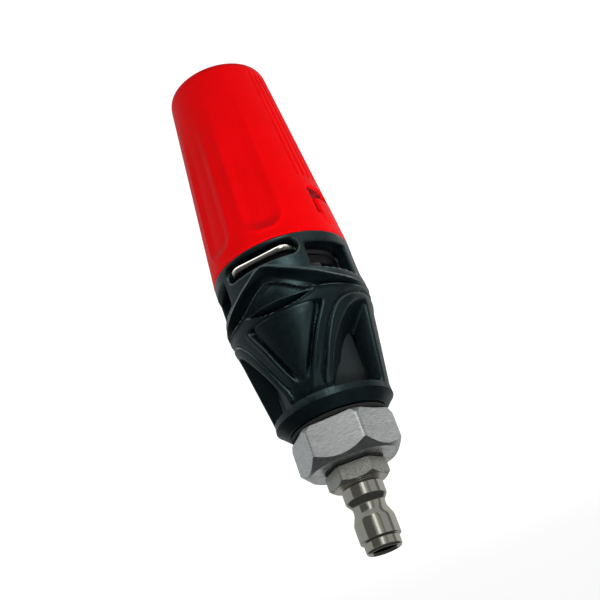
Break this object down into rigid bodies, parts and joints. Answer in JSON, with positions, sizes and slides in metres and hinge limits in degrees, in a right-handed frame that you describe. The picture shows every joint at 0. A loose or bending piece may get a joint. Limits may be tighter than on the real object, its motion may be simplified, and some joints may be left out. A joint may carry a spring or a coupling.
{
  "type": "rotary pressure washer nozzle",
  "caption": "Rotary pressure-washer nozzle: tapered red front cover, black open-lattice rear sleeve, wire clip, hex inlet nut and male quick plug round an inner rotor.",
  "frame": {"origin": "middle of the flat front rim of the front cover, which the nozzle stands on", "axes": "+Z along the nozzle from the outlet to the quick plug; -Y through the middle of one clip slot and one triangular pad of the sleeve"},
  "size_m": [0.044, 0.044, 0.1585],
  "materials": {
    "red_plastic": "satin moulded",
    "black_plastic": "satin, fine grain",
    "steel_wire": "polished spring wire",
    "dark_anodised": "dark anodised",
    "aluminium": "turned and milled, satin",
    "nickel_plate": "bright nickel plate",
    "brass": "turned",
    "ceramic": "ground",
    "grey_plastic": "moulded",
    "black_rubber": "moulded"
  },
  "bodies": {
    "pressure_body": {"pressure_housing": "dark_anodised", "inlet_nut": "aluminium", "quick_plug": "nickel_plate", "plug_seal_ring": "black_rubber", "glide_washer": "black_rubber", "inlet_o_ring": "black_rubber", "cover_o_ring": "black_rubber", "cap_o_ring": "black_rubber", "seat_o_ring": "black_rubber", "swirl_insert": "grey_plastic", "outlet_cap": "brass", "nozzle_seat": "ceramic"},
    "guard": {"front_cover": "red_plastic", "rear_sleeve": "black_plastic", "retaining_clip": "steel_wire"},
    "rotor": {"rotor_tip": "ceramic", "rotor_body": "grey_plastic", "rotor_weight": "brass", "flow_straightener": "grey_plastic", "drive_ring": "black_rubber"}
  },
  "joints": [
    {"name": "guard_swivel", "type": "hinge", "parent": "pressure_body", "child": "guard", "pos_m": [0, 0, 0.0727], "axis": [0, 0, 1], "continuous": true},
    {"name": "rotor_roll", "type": "hinge", "parent": "pressure_body", "child": "rotor", "pos_m": [0, 0, 0.0311], "axis": [0, 0, 1], "continuous": true}
  ]
}
